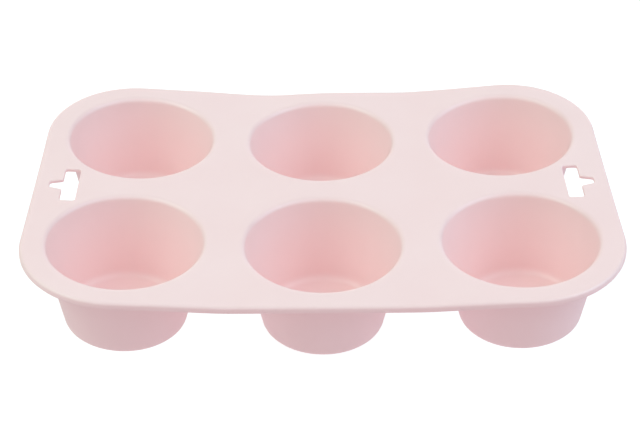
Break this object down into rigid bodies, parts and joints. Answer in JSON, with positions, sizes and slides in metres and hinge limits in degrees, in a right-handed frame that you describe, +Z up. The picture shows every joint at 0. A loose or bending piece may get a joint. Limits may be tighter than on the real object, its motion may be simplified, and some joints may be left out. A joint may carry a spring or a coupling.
{
  "type": "silicone muffin pan",
  "caption": "Soft silicone muffin pan moulded in one piece: tapered round cups in two rows, a flat deck with a beaded rim and a hanging slot at each short end.",
  "frame": {"origin": "middle of the pan on the surface that it stands on", "axes": "+X along the length, +Y from the front row of cups to the back row, +Z up"},
  "size_m": [0.2618, 0.174, 0.0469],
  "materials": {
    "pan_silicone": "matte"
  },
  "bodies": {
    "pan_left": {"deck_left": "pan_silicone", "rim_left": "pan_silicone", "flex_web_left": "pan_silicone", "cup_wall_front_left": "pan_silicone", "cup_wall_back_left": "pan_silicone"},
    "pan_middle": {"deck_middle": "pan_silicone", "rim_front": "pan_silicone", "rim_back": "pan_silicone", "cup_wall_front_middle": "pan_silicone", "cup_wall_back_middle": "pan_silicone"},
    "pan_right": {"deck_right": "pan_silicone", "rim_right": "pan_silicone", "flex_web_right": "pan_silicone", "cup_wall_front_right": "pan_silicone", "cup_wall_back_right": "pan_silicone"},
    "floor_front_left": {"cup_floor_front_left": "pan_silicone"},
    "floor_back_left": {"cup_floor_back_left": "pan_silicone"},
    "floor_front_middle": {"cup_floor_front_middle": "pan_silicone"},
    "floor_back_middle": {"cup_floor_back_middle": "pan_silicone"},
    "floor_front_right": {"cup_floor_front_right": "pan_silicone"},
    "floor_back_right": {"cup_floor_back_right": "pan_silicone"}
  },
  "joints": [
    {"name": "flex_left", "type": "hinge", "parent": "pan_middle", "child": "pan_left", "pos_m": [-0.043, 0, 0.0406], "axis": [0, 1, 0], "range_deg": [-32, 60], "stiffness_Nm_per_rad": 0.06, "springref_deg": 22.35, "deforming": ["flex_web_left"]},
    {"name": "flex_right", "type": "hinge", "parent": "pan_middle", "child": "pan_right", "pos_m": [0.043, 0, 0.0406], "axis": [0, -1, 0], "range_deg": [-32, 60], "stiffness_Nm_per_rad": 0.06, "springref_deg": 22.35, "deforming": ["flex_web_right"]},
    {"name": "push_front_left", "type": "slide", "parent": "pan_left", "child": "floor_front_left", "axis": [0.0625, 0, 0.998], "range_m": [0, 0.015], "stiffness_N_per_m": 800},
    {"name": "push_back_left", "type": "slide", "parent": "pan_left", "child": "floor_back_left", "axis": [0.0625, 0, 0.998], "range_m": [0, 0.015], "stiffness_N_per_m": 800},
    {"name": "push_front_middle", "type": "slide", "parent": "pan_middle", "child": "floor_front_middle", "axis": [0, 0, 1], "range_m": [0, 0.015], "stiffness_N_per_m": 800},
    {"name": "push_back_middle", "type": "slide", "parent": "pan_middle", "child": "floor_back_middle", "axis": [0, 0, 1], "range_m": [0, 0.015], "stiffness_N_per_m": 800},
    {"name": "push_front_right", "type": "slide", "parent": "pan_right", "child": "floor_front_right", "axis": [-0.0625, 0, 0.998], "range_m": [0, 0.015], "stiffness_N_per_m": 800},
    {"name": "push_back_right", "type": "slide", "parent": "pan_right", "child": "floor_back_right", "axis": [-0.0625, 0, 0.998], "range_m": [0, 0.015], "stiffness_N_per_m": 800}
  ]
}
